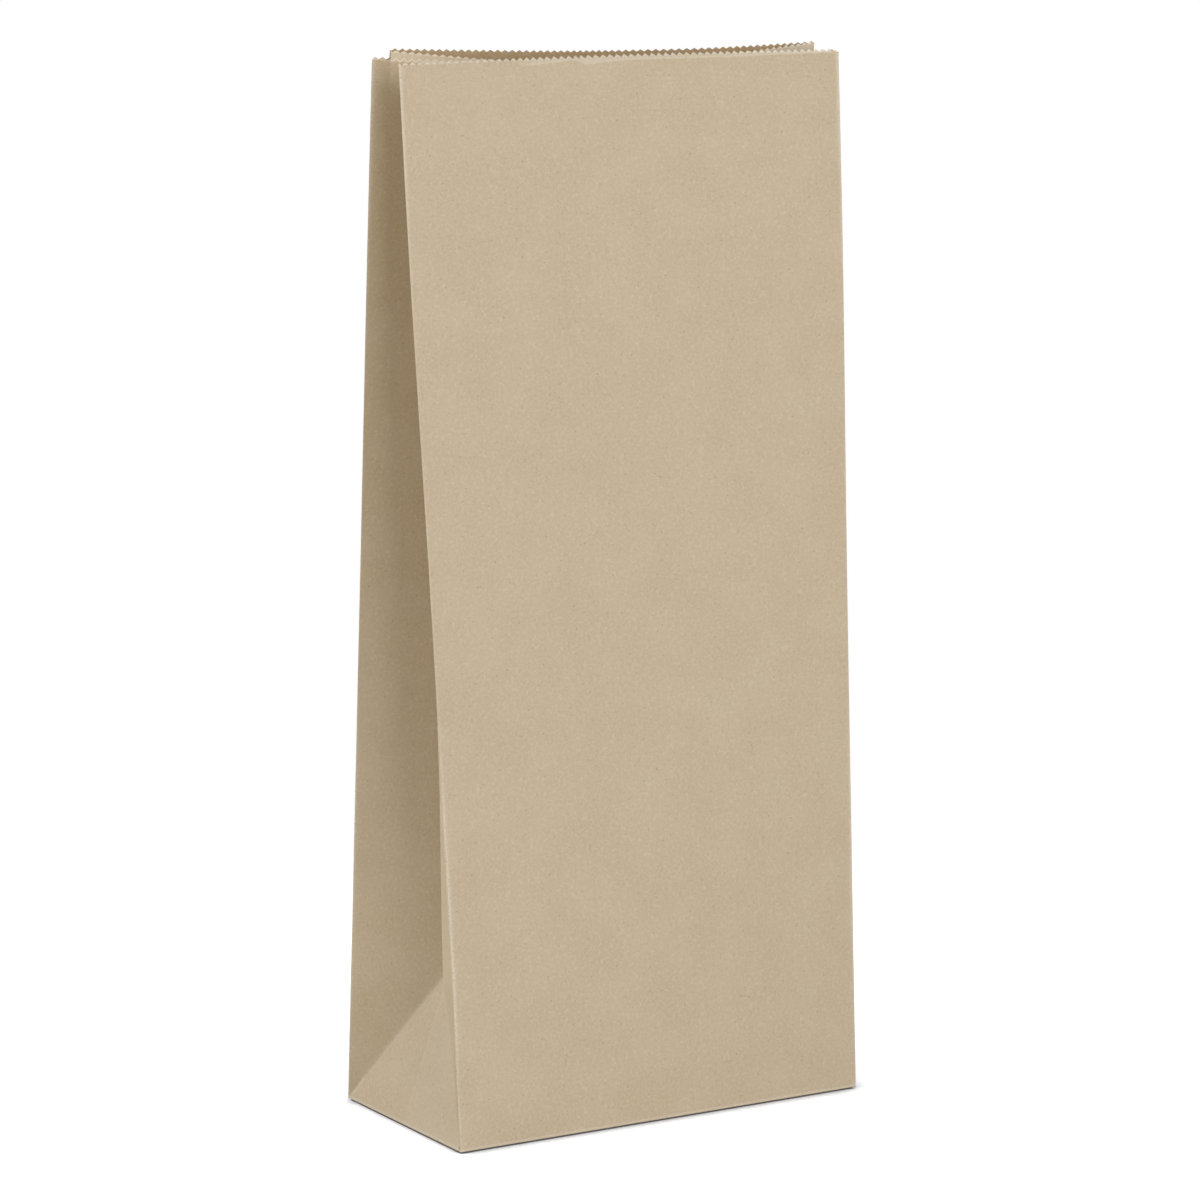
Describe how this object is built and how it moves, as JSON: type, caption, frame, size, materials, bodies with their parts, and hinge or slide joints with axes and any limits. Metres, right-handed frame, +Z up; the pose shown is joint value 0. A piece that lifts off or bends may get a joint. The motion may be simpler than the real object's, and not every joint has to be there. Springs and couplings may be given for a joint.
{
  "type": "paper lunch bag",
  "caption": "Brown kraft paper lunch bag standing open on a block bottom, with inward side gussets and a pinked top edge with a raised back lip.",
  "frame": {"origin": "centre of the bag's bounding box, at its underside", "axes": "+Z up to the mouth, +X to the right along the front panel, +Y from the front panel to the back panel"},
  "size_m": [0.1345, 0.0698, 0.2963],
  "materials": {
    "kraft_paper": "matte, uncoated, with fine visible fibres"
  },
  "bodies": {
    "root": {"paper_bag": "kraft_paper"}
  },
  "joints": []
}
